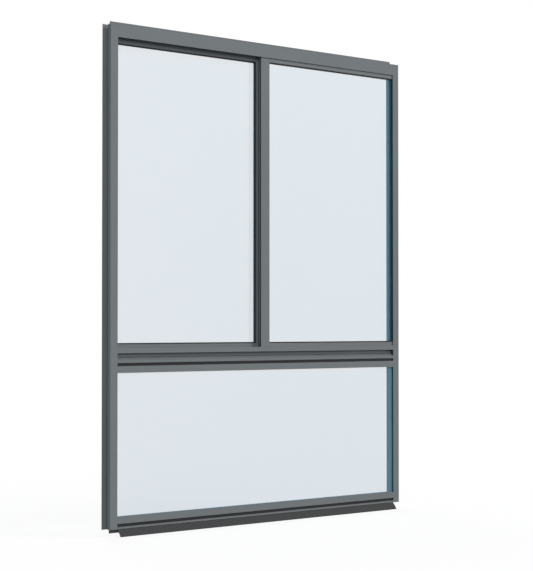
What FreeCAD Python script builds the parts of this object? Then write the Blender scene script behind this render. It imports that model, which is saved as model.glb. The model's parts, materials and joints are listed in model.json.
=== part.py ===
"""Horizontal sliding window over a fixed lower light: an aluminium frame in millimetres.

Frame: +Z up, +X to the right seen from outdoors, outdoors towards -Y. The origin lies on the back
of the sill's fixing fin, at the middle of the width and level with the foot of the jambs.
Depths (the names ending in _depth or _back) are measured inwards from the outdoor face.
"""
import FreeCAD, Part
import math
import os
import types

import Sketcher

DOC = FreeCAD.newDocument("sliding_window")
SHEET = DOC.addObject("Spreadsheet::Sheet", "sizes")

DRIVING = {
    # overall frame
    "frame_width": 1510,
    "frame_height": 1800,
    "frame_depth": 54,
    "wall": 2,
    # fixing fin all round the frame
    "fin_back": 32,
    "fin_reach": 14,
    "sill_fin_reach": 15.5,
    # outdoor faces
    "jamb_face": 33,
    "head_face": 45,
    "nose_depth": 17,
    "web_inset": 17,
    # sill stack, from the foot of the jambs upwards
    "sub_sill_height": 8,
    "isolator_height": 11,
    "isolator_setback": 5,
    "low_sill_face": 24.5,
    "low_opening": 511.5,
    "low_head_face": 24.5,
    "low_rear_drop": 10,
    "nosing_height": 9,
    "ledge_rise": 11,
    "ledge_depth": 19,
    "recess_height": 14.5,
    "lip_height": 18,
    # flexible flap under the sub-sill
    "flap_reach": 17,
    "flap_drop": 26,
    "flap_thickness": 2,
    "flap_clip": 18,
    "flap_end_gap": 1,
    # glazing
    "glass_thickness": 6,
    "glass_bite": 6,
    "gasket_base": 2,
    "gasket_show": 4.5,
    "bead_wall": 1.5,
    "bead_show": 14,
    "bead_drop": 15.5,
    "low_glass_lip": 2.5,
    # fixed upper light
    "fixed_setback": 5,
    "fixed_lip": 3.5,
    "meeting_width": 45,
    "meeting_offset": 5,
    "meeting_box": 28,
    "meeting_side": 11,
    "meeting_bite": 2.5,
    "hook_inset": 14,
    "hook_wall": 1.5,
    "hook_gap": 1.5,
    "hook_lap": 9,
    # sliding sash
    "sash_gap": 2,
    "sash_depth": 16,
    "sash_end_gap": 3,
    "sash_shift": 1,
    "lock_stile_width": 35,
    "sash_drop": 31,
    "sash_lift": 17,
    "head_leg_drop": 4,
    "tray_floor": 7.5,
    "track_height": 8,
    "track_width": 2,
    "seal_gap": 0.3,
    "seal_height": 6,
    "seal_inset": 5,
    # rollers
    "wheel_radius": 11,
    "wheel_width": 6,
    "wheel_groove": 2,
    "wheel_gap": 0.3,
    "axle_radius": 2.5,
    "axle_gap": 0.15,
    "housing_length": 44,
    "housing_drop": 34,
    "roller_inset": 90,
    # blocks that keep the sash from being lifted out
    "block_length": 40,
    "block_gap": 3,
    "block_inset": 60,
    # latch on the indoor face of the lock stile
    "latch_height": 420,
    "latch_length": 110,
    "latch_width": 18,
    "latch_plate": 3,
    "lever_length": 52,
    "lever_width": 10,
    "lever_rise": 9,
}


class Size:
    """A length in millimetres together with the sheet expression that drives it."""

    def __init__(self, value, text):
        self.value = float(value)
        self.text = text

    def __add__(self, other):
        other = sized(other)
        return Size(self.value + other.value, f"({self.text} + {other.text})")

    def __sub__(self, other):
        other = sized(other)
        return Size(self.value - other.value, f"({self.text} - {other.text})")

    def __neg__(self):
        return Size(-self.value, f"(0 - {self.text})")

    def __mul__(self, factor):
        return Size(self.value * factor, f"({self.text} * {factor})")

    def __truediv__(self, divisor):
        return Size(self.value / divisor, f"({self.text} / {divisor})")


def sized(length):
    return length if isinstance(length, Size) else Size(length, repr(length))


def fill_sheet():
    """Write the driving dimensions as aliased cells and hand them back as sizes."""
    named = {}
    for row, (alias, number) in enumerate(DRIVING.items(), start=1):
        SHEET.set(f"A{row}", alias)
        SHEET.set(f"B{row}", str(number))
        SHEET.setAlias(f"B{row}", alias)
        named[alias] = Size(number, f"sizes.{alias}")
    DOC.recompute()
    return types.SimpleNamespace(**named)


s = fill_sheet()
NODES = []
ZERO = Size(0, "0")

# Planes of the frame, across the width
half = s.frame_width / 2
inner_web = s.web_inset + s.wall
left_web = inner_web - half
left_edge = s.jamb_face - half
between_webs = s.frame_width - inner_web * 2
between_faces = s.frame_width - s.jamb_face * 2

# Levels of the frame, from the foot of the jambs
low_sill_foot = s.sub_sill_height + s.isolator_height
low_sight_foot = low_sill_foot + s.low_sill_face
low_sight_top = low_sight_foot + s.low_opening
low_head_top = low_sight_top + s.low_head_face
transom_foot = low_head_top + s.isolator_height
ledge_foot = transom_foot + s.nosing_height
ledge_top = ledge_foot + s.ledge_rise
lip_foot = ledge_top + s.recess_height
lip_top = lip_foot + s.lip_height
front_floor = lip_foot + s.wall
rear_floor = transom_foot + s.tray_floor + s.wall
head_web_top = s.frame_height - s.web_inset
head_web = head_web_top - s.wall
head_sight = s.frame_height - s.head_face
head_leg_foot = head_sight - s.head_leg_drop

# Depths behind the outdoor face
fin_front = s.fin_back - s.wall
rear_leg = s.frame_depth - s.wall
sash_front = s.fin_back + s.sash_gap
sash_back = sash_front + s.sash_depth
sash_glass_lip = (s.sash_depth - s.wall * 2 - s.glass_thickness) / 2
fixed_inner = s.fixed_setback + s.wall
fixed_rear = fixed_inner + s.fixed_lip * 2 + s.glass_thickness
fixed_back = fixed_rear + s.wall
low_bead_front = s.wall + s.low_glass_lip * 2 + s.glass_thickness
glass_pocket = s.glass_bite + s.gasket_base

# Meeting stiles: the fixed one in front, the sash's own behind it
meeting_left = s.meeting_offset - s.meeting_width / 2
meeting_right = meeting_left + s.meeting_width
meeting_box_edge = meeting_left + s.meeting_box
hook_left = meeting_left + s.hook_inset
sash_meeting_left = meeting_left + s.sash_shift
sash_meeting_right = sash_meeting_left + s.meeting_width
sash_left = left_web + s.sash_end_gap
lock_edge = sash_left + s.lock_stile_width

# Sash levels
sash_foot = lip_top - s.sash_drop
sash_top = head_sight + s.sash_lift
sash_sight_foot = lip_top + s.bead_show
sash_sight_top = head_sight - s.bead_drop
bottom_web_top = sash_sight_foot - glass_pocket
top_web_foot = sash_sight_top + glass_pocket
track_top = rear_floor + s.track_height
axle_level = track_top + s.wheel_gap + s.wheel_radius - s.wheel_groove
sash_middle = sash_front + s.sash_depth / 2


def depth(behind):
    """Y of a plane that lies this far behind the outdoor face."""
    return behind - s.fin_back


def new_body(label, start=None):
    """A body whose Placement puts its sketch plane at the start point (x, y, z)."""
    body = DOC.addObject("PartDesign::Body", label)
    body.Label = label
    for axis, place in zip("xyz", start or ()):
        if place is not None:
            body.setExpression(f"Placement.Base.{axis}", place.text)
    NODES.append(body)
    return body


def new_sketch(body, name, role, offset=None):
    """A sketch on one of the body's own origin planes, moved along the plane's normal."""
    sketch = body.newObject("Sketcher::SketchObject", name)
    plane = next(feature for feature in body.Origin.OriginFeatures if feature.Role == role)
    sketch.AttachmentSupport = (plane, [""])
    sketch.MapMode = "FlatFace"
    if offset is not None:
        sketch.setExpression("AttachmentOffset.Base.z", offset.text)
    return sketch


def bind_point(sketch, geometry, point, x, y):
    """Tie a point of the sketch to the sheet by its distances from the sketch's origin."""
    for kind, length in (("DistanceX", x), ("DistanceY", y)):
        rule = Sketcher.Constraint(kind, -1, 1, geometry, point, length.value)
        index = sketch.addConstraint(rule)
        sketch.setExpression(f"Constraints[{index}]", length.text)


def outline(sketch, corners):
    """Draw a closed outline of straight edges with every corner bound to the sheet."""
    corners = [(sized(x), sized(y)) for x, y in corners]
    points = [FreeCAD.Vector(x.value, y.value, 0) for x, y in corners]
    count = len(points)
    first = sketch.GeometryCount
    sketch.addGeometry([Part.LineSegment(points[i], points[(i + 1) % count]) for i in range(count)], False)
    sketch.addConstraint([
        Sketcher.Constraint("Coincident", first + i, 2, first + (i + 1) % count, 1) for i in range(count)])
    for i, (x, y) in enumerate(corners):
        bind_point(sketch, first + i, 1, x, y)


def rectangle(x_low, x_high, y_low, y_high):
    return [(x_low, y_low), (x_high, y_low), (x_high, y_high), (x_low, y_high)]


def circle(sketch, x, y, radius):
    index = sketch.addGeometry(Part.Circle(FreeCAD.Vector(x.value, y.value, 0), FreeCAD.Vector(0, 0, 1),
                                           radius.value), False)
    bind_point(sketch, index, 3, x, y)
    rule = sketch.addConstraint(Sketcher.Constraint("Radius", index, radius.value))
    sketch.setExpression(f"Constraints[{rule}]", radius.text)


def pad(body, sketch, length):
    feature = body.newObject("PartDesign::Pad", f"{sketch.Name}_pad")
    feature.Profile = sketch
    feature.setExpression("Length", length.text)
    sketch.Visibility = False
    return feature


def pocket(body, sketch, length):
    """Cut away from the sketch's normal, and make sure that something was cut."""
    DOC.recompute()
    before = body.Shape.Volume
    feature = body.newObject("PartDesign::Pocket", f"{sketch.Name}_cut")
    feature.Profile = sketch
    feature.setExpression("Length", length.text)
    DOC.recompute()
    assert body.Shape.Volume < before, f"{sketch.Name} cuts nothing"
    return feature


def across(label, loops, start, length):
    """A bar along X: its section is drawn as (depth behind the outdoor face, level)."""
    body = new_body(label, (start, None, None))
    sketch = new_sketch(body, f"{label}_section", "YZ_Plane")
    for loop in loops:
        outline(sketch, [(depth(sized(behind)), level) for behind, level in loop])
    pad(body, sketch, length)
    return body


def upright(label, loops, foot, length):
    """A bar along Z: its section is drawn as (x, depth behind the outdoor face)."""
    body = new_body(label, (None, None, foot))
    sketch = new_sketch(body, f"{label}_section", "XY_Plane")
    for loop in loops:
        outline(sketch, [(x, depth(sized(behind))) for x, behind in loop])
    pad(body, sketch, length)
    return body


def notch_face(body):
    """Cut a cross-member's outdoor wall back at both ends, where the jambs' faces pass."""
    lap = s.jamb_face - inner_web
    sketch = new_sketch(body, f"{body.Label}_notch", "XZ_Plane", s.fin_back)
    high = s.frame_height
    outline(sketch, rectangle(ZERO, lap, ZERO, high))
    outline(sketch, rectangle(between_webs - lap, between_webs, ZERO, high))
    pocket(body, sketch, s.wall)


def jamb(label, side):
    """A jamb: hollow outdoor nose, web, fixing fin, and a leg coped for the cross-members."""
    def across_jamb(inset):
        return (sized(inset) - half) * -side

    nose = s.nose_depth
    section = [
        (ZERO, ZERO), (s.jamb_face, ZERO), (s.jamb_face, s.wall), (inner_web, s.wall),
        (inner_web, fin_front), (s.jamb_face, fin_front), (s.jamb_face, s.fin_back), (inner_web, s.fin_back),
        (inner_web, s.frame_depth), (s.web_inset, s.frame_depth), (s.web_inset, s.fin_back),
        (-s.fin_reach, s.fin_back), (-s.fin_reach, fin_front), (s.web_inset, fin_front), (s.web_inset, nose),
        (ZERO, nose),
    ]
    chamber = rectangle(s.wall, s.web_inset, s.wall, nose - s.wall)
    loops = [[(across_jamb(inset), behind) for inset, behind in loop] for loop in (section, chamber)]
    body = upright(label, loops, ZERO, s.frame_height)
    cope = new_sketch(body, f"{label}_cope", "XZ_Plane", s.fin_back - s.wall)
    edges = sorted((across_jamb(inner_web), across_jamb(s.jamb_face)), key=lambda size: size.value)
    for foot, top in ((ZERO, low_sight_foot), (low_sight_top, lip_top), (head_leg_foot, s.frame_height)):
        outline(cope, rectangle(edges[0], edges[1], foot, top))
    pocket(body, cope, s.frame_depth - s.wall)


def head():
    """The head: outdoor nose, fixing fin, and the channel that guides the sash."""
    nose = s.nose_depth
    top = s.frame_height
    section = [
        (ZERO, head_sight), (ZERO, top), (nose, top), (nose, head_web_top), (fin_front, head_web_top),
        (fin_front, top + s.fin_reach), (s.fin_back, top + s.fin_reach), (s.fin_back, head_web_top),
        (s.frame_depth, head_web_top), (s.frame_depth, head_leg_foot), (rear_leg, head_leg_foot),
        (rear_leg, head_web), (s.fin_back, head_web), (s.fin_back, head_leg_foot), (fin_front, head_leg_foot),
        (fin_front, head_web), (s.wall, head_web), (s.wall, head_sight),
    ]
    chamber = rectangle(s.wall, nose - s.wall, head_web_top, top - s.wall)
    notch_face(across("head", [section, chamber], left_web, between_webs))


def transom():
    """The sliding sill: outdoor lip, sloping ledge with its nosing, and the sash's sunk track tray."""
    track_front = sash_middle - s.track_width / 2
    track_back = track_front + s.track_width
    section = [
        (ZERO, lip_foot), (ZERO, lip_top), (s.wall, lip_top), (s.wall, front_floor), (fin_front, front_floor),
        (fin_front, lip_top), (s.fin_back, lip_top), (s.fin_back, rear_floor), (track_front, rear_floor),
        (track_front, track_top), (track_back, track_top), (track_back, rear_floor), (rear_leg, rear_floor),
        (rear_leg, lip_top), (s.frame_depth, lip_top), (s.frame_depth, transom_foot), (ZERO, transom_foot),
        (ZERO, ledge_foot), (s.ledge_depth, ledge_top), (s.ledge_depth, lip_foot),
    ]
    front_chamber = [
        (s.wall, transom_foot + s.wall), (fin_front, transom_foot + s.wall), (fin_front, lip_foot),
        (s.ledge_depth + s.wall, lip_foot), (s.ledge_depth + s.wall, ledge_top - s.wall / 2),
        (s.wall, ledge_foot - s.wall / 2),
    ]
    rear_chamber = rectangle(s.fin_back, rear_leg, transom_foot + s.wall, rear_floor - s.wall)
    notch_face(across("transom", [section, front_chamber, rear_chamber], left_web, between_webs))


def lower_light_frame():
    """Head and sill of the lower light: each a web with two legs for the glazing and a shorter rear leg."""
    for label, back, web, tip, rear_tip in (
            ("lower_light_head", low_head_top, low_head_top - s.wall, low_sight_top,
             low_sight_top + s.low_rear_drop),
            ("lower_light_sill", low_sill_foot, low_sill_foot + s.wall, low_sight_foot,
             low_sight_foot - s.low_rear_drop)):
        section = [
            (ZERO, back), (ZERO, tip), (s.wall, tip), (s.wall, web), (fin_front, web), (fin_front, tip),
            (s.fin_back, tip), (s.fin_back, web), (rear_leg, web), (rear_leg, rear_tip),
            (s.frame_depth, rear_tip), (s.frame_depth, back),
        ]
        notch_face(across(label, [section], left_web, between_webs))


def isolators():
    """Black hollow strips that part the cold outer members from the frame above them."""
    for label, foot, top in (("sill_isolator", s.sub_sill_height, low_sill_foot),
                             ("transom_isolator", low_head_top, transom_foot)):
        section = rectangle(s.isolator_setback, rear_leg, foot, top)
        spans = ((s.isolator_setback + s.wall, fin_front), (s.fin_back, rear_leg - s.wall))
        chambers = [rectangle(near, far, foot + s.wall, top - s.wall) for near, far in spans]
        across(label, [section] + chambers, left_web, between_webs)


def sub_sill():
    """The base of the frame, with its drip lip, rear leg and downward fixing fin."""
    web = s.sub_sill_height - s.wall
    section = [
        (ZERO, s.flap_end_gap), (ZERO, s.sub_sill_height), (s.frame_depth, s.sub_sill_height),
        (s.frame_depth, ZERO), (rear_leg, ZERO), (rear_leg, web), (s.fin_back, web),
        (s.fin_back, -s.sill_fin_reach), (fin_front, -s.sill_fin_reach), (fin_front, web),
        (s.wall, web), (s.wall, s.flap_end_gap),
    ]
    notch_face(across("sub_sill", [section], left_web, between_webs))


def sill_flap():
    """A flexible strip clipped under the sub-sill that leans out over the wall below."""
    web = s.sub_sill_height - s.wall
    thick = s.flap_thickness
    section = [
        (s.wall, web), (s.wall + s.flap_clip, web), (s.wall + s.flap_clip, web - thick),
        (s.wall + thick, web - thick), (s.wall + thick, ZERO), (thick - s.flap_reach, -s.flap_drop),
        (-s.flap_reach, -s.flap_drop), (s.wall, s.flap_end_gap),
    ]
    start = left_edge + s.flap_end_gap
    across("sill_flap", [section], start, between_faces - s.flap_end_gap * 2)


def h_section(near, far, foot, top, web_foot):
    """Two legs joined by a cross web, as corners of one outline."""
    web_top = web_foot + s.wall
    return [
        (near, foot), (near, top), (near + s.wall, top), (near + s.wall, web_top), (far - s.wall, web_top),
        (far - s.wall, top), (far, top), (far, foot), (far - s.wall, foot), (far - s.wall, web_foot),
        (near + s.wall, web_foot), (near + s.wall, foot),
    ]


def fixed_light():
    """The fixed upper light: its meeting stile with the interlock hook, and its glazing beads."""
    lap = hook_left + s.hook_lap
    hook_back = fixed_back + s.hook_gap * 2 + s.hook_wall * 2
    section = [
        (meeting_left, s.fixed_setback), (meeting_right, s.fixed_setback), (meeting_right, fixed_inner),
        (meeting_box_edge, fixed_inner), (meeting_box_edge, fixed_rear), (meeting_right, fixed_rear),
        (meeting_right, fixed_back), (hook_left + s.hook_wall, fixed_back),
        (hook_left + s.hook_wall, hook_back - s.hook_wall), (lap, hook_back - s.hook_wall), (lap, hook_back),
        (hook_left, hook_back), (hook_left, s.fixed_setback + s.meeting_side),
        (meeting_left, s.fixed_setback + s.meeting_side),
    ]
    chamber = [
        (meeting_left + s.wall, fixed_inner), (meeting_box_edge - s.wall, fixed_inner),
        (meeting_box_edge - s.wall, fixed_rear), (hook_left + s.wall, fixed_rear),
        (hook_left + s.wall, s.fixed_setback + s.meeting_side - s.wall),
        (meeting_left + s.wall, s.fixed_setback + s.meeting_side - s.wall),
    ]
    upright("meeting_stile", [section, chamber], front_floor, head_web - front_floor)

    jamb_bead_edge = inner_web + s.bead_wall + glass_pocket
    near_web = half - inner_web
    edge = half - jamb_bead_edge
    floor = near_web - s.bead_wall
    bead = [
        (near_web, s.fixed_setback), (edge, s.fixed_setback), (edge, fixed_inner), (floor, fixed_inner),
        (floor, fixed_rear), (edge, fixed_rear), (edge, fixed_back), (near_web, fixed_back),
    ]
    upright("fixed_jamb_bead", [bead], front_floor, head_web - front_floor)
    length = edge - meeting_right
    head_bead = h_section(s.fixed_setback, fixed_back, sash_sight_top, head_web, top_web_foot)
    across("fixed_head_bead", [head_bead], meeting_right, length)
    sill_bead = h_section(s.fixed_setback, fixed_back, front_floor, sash_sight_foot, bottom_web_top - s.wall)
    across("fixed_sill_bead", [sill_bead], meeting_right, length)
    pane_left = meeting_right - s.meeting_bite
    glazing("fixed", (pane_left, edge), (sash_sight_foot, sash_sight_top), fixed_inner, s.fixed_lip,
            s.gasket_show)


def slab(name, x_span, y_span, z_span):
    """A box between bound planes."""
    box = DOC.addObject("Part::Box", name)
    for side, axis, (low, high) in (("Length", "x", x_span), ("Width", "y", y_span), ("Height", "z", z_span)):
        box.setExpression(side, (high - low).text)
        box.setExpression(f"Placement.Base.{axis}", low.text)
    return box


def cut(name, base, tool):
    result = DOC.addObject("Part::Cut", name)
    result.Base = base
    result.Tool = tool
    return result


def glazing(light, x_sight, z_sight, near, lip, show):
    """A pane and the rubber channel round its edge, from the sight lines of the metal round it."""
    def grown(span, by):
        return span[0] - by, span[1] + by

    front = depth(near + lip)
    back = front + s.glass_thickness
    edge = s.glass_bite
    glass = slab(f"{light}_glass", grown(x_sight, edge), (front, back), grown(z_sight, edge))
    seat = slab(f"{light}_glass_seat", grown(x_sight, edge), (front, back), grown(z_sight, edge))
    lips = (front - lip, back + lip)
    outer = slab(f"{light}_rubber", grown(x_sight, glass_pocket), lips, grown(z_sight, glass_pocket))
    opening = slab(f"{light}_daylight", grown(x_sight, -show), lips, grown(z_sight, -show))
    ring = cut(f"{light}_rubber_ring", outer, opening)
    gasket = cut(f"{light}_gasket", ring, seat)
    NODES.extend([glass, gasket])


def stile_section(inner, outer):
    """A stile with a hollow back at the outer edge and a glazing channel at the inner one."""
    pocket_floor = inner + glass_pocket if outer.value > inner.value else inner - glass_pocket
    toward = s.wall if outer.value > inner.value else -s.wall
    front, back = sash_front, sash_back
    section = [
        (outer, front), (inner, front), (inner, front + s.wall), (pocket_floor, front + s.wall),
        (pocket_floor, back - s.wall), (inner, back - s.wall), (inner, back), (outer, back),
    ]
    chamber = rectangle(pocket_floor + toward, outer - toward, front + s.wall, back - s.wall)
    return [section, chamber]


def sash():
    """The sliding sash: two stiles, two rails between them, its pane, and its interlock hook."""
    height = sash_top - sash_foot
    upright("sash_lock_stile", stile_section(lock_edge, sash_left), sash_foot, height)
    meeting_section = stile_section(sash_meeting_left, sash_meeting_right)
    stile = upright("sash_meeting_stile", meeting_section, sash_foot, height)

    hook_front = fixed_back + s.hook_gap
    tip = hook_left + s.hook_lap / 2
    leg = tip + s.hook_lap
    hook = new_sketch(stile, "sash_hook_section", "XY_Plane", sash_sight_foot - sash_foot)
    outline(hook, [(x, depth(behind)) for x, behind in (
        (tip, hook_front), (leg + s.hook_wall, hook_front), (leg + s.hook_wall, sash_front),
        (leg, sash_front), (leg, hook_front + s.hook_wall), (tip, hook_front + s.hook_wall))])
    pad(stile, hook, sash_sight_top - sash_sight_foot)

    length = sash_meeting_left - lock_edge
    across("sash_top_rail", [h_section(sash_front, sash_back, sash_sight_top, sash_top, top_web_foot)],
           lock_edge, length)
    across("sash_bottom_rail", [h_section(sash_front, sash_back, sash_foot, sash_sight_foot,
                                          bottom_web_top - s.wall)], lock_edge, length)
    glazing("sash", (lock_edge, sash_meeting_left), (sash_sight_foot, sash_sight_top), sash_front + s.wall,
            sash_glass_lip, s.gasket_show)


def sash_seals():
    """Brush strips on the faces of both rails, just clear of the frame's legs."""
    thick = s.sash_gap - s.seal_gap
    levels = {"top": head_leg_foot + s.seal_inset, "bottom": lip_top - s.seal_inset - s.seal_height}
    for level_name, foot in levels.items():
        for face_name, near in (("outdoor", sash_front - thick), ("indoor", sash_back)):
            section = rectangle(near, near + thick, foot, foot + s.seal_height)
            across(f"{level_name}_{face_name}_brush", [section], lock_edge, sash_meeting_left - lock_edge)


def rollers():
    """Two grooved wheels on the track, each in a bracket under the bottom rail's web."""
    near = sash_front + s.wall
    far = sash_back - s.wall
    crown = bottom_web_top - s.wall
    foot = crown - s.housing_drop
    for label, middle in (("left", lock_edge + s.roller_inset),
                          ("right", sash_meeting_left - s.roller_inset)):
        section = [
            (near, foot), (near, crown), (far, crown), (far, foot), (far - s.wall, foot),
            (far - s.wall, crown - s.wall), (near + s.wall, crown - s.wall), (near + s.wall, foot),
        ]
        start = middle - s.housing_length / 2
        bracket = across(f"roller_bracket_{label}", [section], start, s.housing_length)
        bore = new_sketch(bracket, f"roller_bore_{label}", "XZ_Plane", -depth(near))
        circle(bore, s.housing_length / 2, axle_level, s.axle_radius + s.axle_gap)
        pocket(bracket, bore, far - near)

        wheel = new_body(f"roller_wheel_{label}", (middle, depth(sash_middle), axle_level))
        sketch = new_sketch(wheel, f"wheel_half_{label}", "XY_Plane")
        rim = s.wheel_width / 2
        pin = (far - near) / 2
        throat = s.wheel_radius - s.wheel_groove
        flat = s.track_width
        outline(sketch, [
            (ZERO, -pin), (s.axle_radius, -pin), (s.axle_radius, -rim), (s.wheel_radius, -rim),
            (throat, -flat), (throat, flat), (s.wheel_radius, rim), (s.axle_radius, rim),
            (s.axle_radius, pin), (ZERO, pin)])
        turn = wheel.newObject("PartDesign::Revolution", f"wheel_turn_{label}")
        turn.Profile = sketch
        turn.ReferenceAxis = (sketch, ["V_Axis"])
        turn.Angle = 360


def antilift_blocks():
    """Nylon blocks in the top rail that fill the head channel's height."""
    near = sash_front + s.wall
    far = sash_back - s.wall
    section = rectangle(near, far, top_web_foot + s.wall, head_web - s.block_gap)
    for label, start in (("left", lock_edge + s.block_inset),
                         ("right", sash_meeting_left - s.block_inset - s.block_length)):
        across(f"antilift_block_{label}", [section], start, s.block_length)


def latch():
    """A flat-backed latch with a thumb lever on the indoor face of the lock stile."""
    middle = (left_edge + lock_edge) / 2
    level = sash_foot + s.latch_height
    body = new_body("sash_latch", (middle, depth(sash_back), level))
    plate = new_sketch(body, "latch_plate", "XZ_Plane")
    slot_outline(plate, s.latch_width / 2, s.latch_length / 2)
    feature = pad(body, plate, s.latch_plate)
    feature.Reversed = True
    lever = new_sketch(body, "latch_lever", "XZ_Plane", -s.latch_plate)
    slot_outline(lever, s.lever_width / 2, s.lever_length / 2)
    feature = pad(body, lever, s.lever_rise)
    feature.Reversed = True


def slot_outline(sketch, radius, reach):
    """An upright slot about the sketch's origin: two half circles and the lines between them."""
    straight = reach - radius
    up = FreeCAD.Vector(0, 0, 1)
    first = sketch.GeometryCount
    arcs = []
    for centre, start in ((straight.value, 0.0), (-straight.value, math.pi)):
        ring = Part.Circle(FreeCAD.Vector(0, centre, 0), up, radius.value)
        arcs.append(Part.ArcOfCircle(ring, start, start + math.pi))
    left = [FreeCAD.Vector(-radius.value, straight.value * sign, 0) for sign in (1, -1)]
    right = [FreeCAD.Vector(radius.value, straight.value * sign, 0) for sign in (-1, 1)]
    sketch.addGeometry(arcs + [Part.LineSegment(*left), Part.LineSegment(*right)], False)
    top, foot, near, far = range(first, first + 4)
    sketch.addConstraint([
        Sketcher.Constraint("Tangent", top, 2, near, 1), Sketcher.Constraint("Tangent", near, 2, foot, 1),
        Sketcher.Constraint("Tangent", foot, 2, far, 1), Sketcher.Constraint("Tangent", far, 2, top, 1),
        Sketcher.Constraint("Equal", top, foot)])
    bind_point(sketch, top, 3, ZERO, straight)
    rule = sketch.addConstraint(Sketcher.Constraint("Radius", top, radius.value))
    sketch.setExpression(f"Constraints[{rule}]", radius.text)
    bind_point(sketch, foot, 3, ZERO, -straight)


def lower_beads():
    """Indoor glazing beads of the lower light: channels that snap between the pane and the middle leg."""
    near, far = low_bead_front, fin_front
    wall = s.wall

    def channel(root, tip, inward):
        return [(near, root), (near, tip), (far, tip), (far, root), (far - wall, root),
                (far - wall, tip - inward), (near + wall, tip - inward), (near + wall, root)]

    across("lower_bead_top", [channel(low_head_top - wall, low_sight_top, -wall)], left_web, between_webs)
    across("lower_bead_bottom", [channel(low_sill_foot + wall, low_sight_foot, wall)], left_web, between_webs)
    for label, side in (("left", -1), ("right", 1)):
        root = (half - inner_web) * side
        tip = (half - s.jamb_face) * side
        section = [(x, behind) for behind, x in channel(root, tip, wall * -side)]
        upright(f"lower_bead_{label}", [section], low_sight_foot, s.low_opening)
    glazing("lower", (left_edge, half - s.jamb_face), (low_sight_foot, low_sight_top), s.wall,
            s.low_glass_lip, ZERO)


def check_document():
    """Stop before anything is written if a feature failed or a solid is not sound."""
    DOC.recompute()
    for item in DOC.Objects:
        bad = {"Invalid", "Error"} & set(item.State)
        assert not bad, f"{item.Label} failed: {item.State}"
    for node in NODES:
        assert not node.Shape.isNull() and node.Shape.isValid(), f"{node.Label} is not a sound solid"


def write_parts():
    os.makedirs("parts", exist_ok=True)
    for node in NODES:
        node.Shape.exportStep(f"parts/{node.Label}.step")
        box = node.Shape.BoundBox
        print(f"{node.Label}: {len(node.Shape.Solids)} solid(s), {node.Shape.Volume / 1000:.1f} cm3, "
              f"{box.XLength:.1f} x {box.YLength:.1f} x {box.ZLength:.1f} mm")


jamb("left_jamb", -1)
jamb("right_jamb", 1)
head()
transom()
lower_light_frame()
isolators()
sub_sill()
sill_flap()
fixed_light()
sash()
sash_seals()
rollers()
antilift_blocks()
latch()
lower_beads()
check_document()
write_parts()
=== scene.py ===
# %% [markdown]
# # A sliding window over a fixed low light
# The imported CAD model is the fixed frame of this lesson: every aluminium bar, pane and seal already has
# its place and size in metres. Blender adds what a drawing leaves out: the soft edges of extruded bars,
# the grain of powder coat, the tint of glass, rubber, brush pile, screws and a latch that a hand could
# turn. Outdoors is towards -Y and +Z is up. The sash is on the left seen from outdoors, and its pane lies
# behind the fixed one.

# %% Load the frame and note its box
import json
import math

import bpy
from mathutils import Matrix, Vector


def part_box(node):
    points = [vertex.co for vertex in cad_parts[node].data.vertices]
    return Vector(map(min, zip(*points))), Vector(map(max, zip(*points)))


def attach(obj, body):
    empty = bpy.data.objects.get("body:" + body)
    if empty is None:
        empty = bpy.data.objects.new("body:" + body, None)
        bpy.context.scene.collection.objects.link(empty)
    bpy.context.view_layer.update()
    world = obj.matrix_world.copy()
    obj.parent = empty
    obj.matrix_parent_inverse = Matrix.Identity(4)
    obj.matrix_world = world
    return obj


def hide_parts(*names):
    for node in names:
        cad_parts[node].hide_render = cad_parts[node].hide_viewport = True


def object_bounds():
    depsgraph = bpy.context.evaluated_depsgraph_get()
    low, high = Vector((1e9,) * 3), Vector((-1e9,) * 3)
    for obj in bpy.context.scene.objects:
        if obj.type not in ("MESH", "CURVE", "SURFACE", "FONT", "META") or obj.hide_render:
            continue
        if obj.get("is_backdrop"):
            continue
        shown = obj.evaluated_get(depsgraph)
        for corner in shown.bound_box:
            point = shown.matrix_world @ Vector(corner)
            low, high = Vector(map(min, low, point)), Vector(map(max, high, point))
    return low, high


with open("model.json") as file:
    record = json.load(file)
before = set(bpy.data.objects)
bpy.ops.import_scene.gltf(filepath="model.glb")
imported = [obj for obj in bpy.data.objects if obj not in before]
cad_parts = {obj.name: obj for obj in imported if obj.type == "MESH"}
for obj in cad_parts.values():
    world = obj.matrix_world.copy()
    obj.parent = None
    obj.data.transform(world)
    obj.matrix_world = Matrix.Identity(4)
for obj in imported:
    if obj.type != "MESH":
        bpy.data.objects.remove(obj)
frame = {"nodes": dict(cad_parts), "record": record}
cad_low, cad_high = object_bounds()
NODES = frame["nodes"]
scene = bpy.context.scene
print("CAD box", [round(v, 4) for v in cad_low], [round(v, 4) for v in cad_high])

# %% [markdown]
# ## Camera
# A product shot is matched by its vanishing lines. The camera's place, turn, tilt and focal length were
# solved from the straight edges of the frame, so they go in as plain numbers. The focal length is in
# pixels of a picture 533 wide and 571 tall; Blender wants it as millimetres on a sensor that spans the
# longer side.

# %% Camera at the photograph's angle
PICTURE_TALL = 571
FOCAL_PIXELS = 1812.5
SENSOR_MM = 36.0
SIGHT_LIMIT = 200.0
CAMERA_PLACE = Vector((-4.76815, -5.08555, 0.7239))
CAMERA_YAW = math.radians(43.373)
CAMERA_PITCH = math.radians(1.269)

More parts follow.
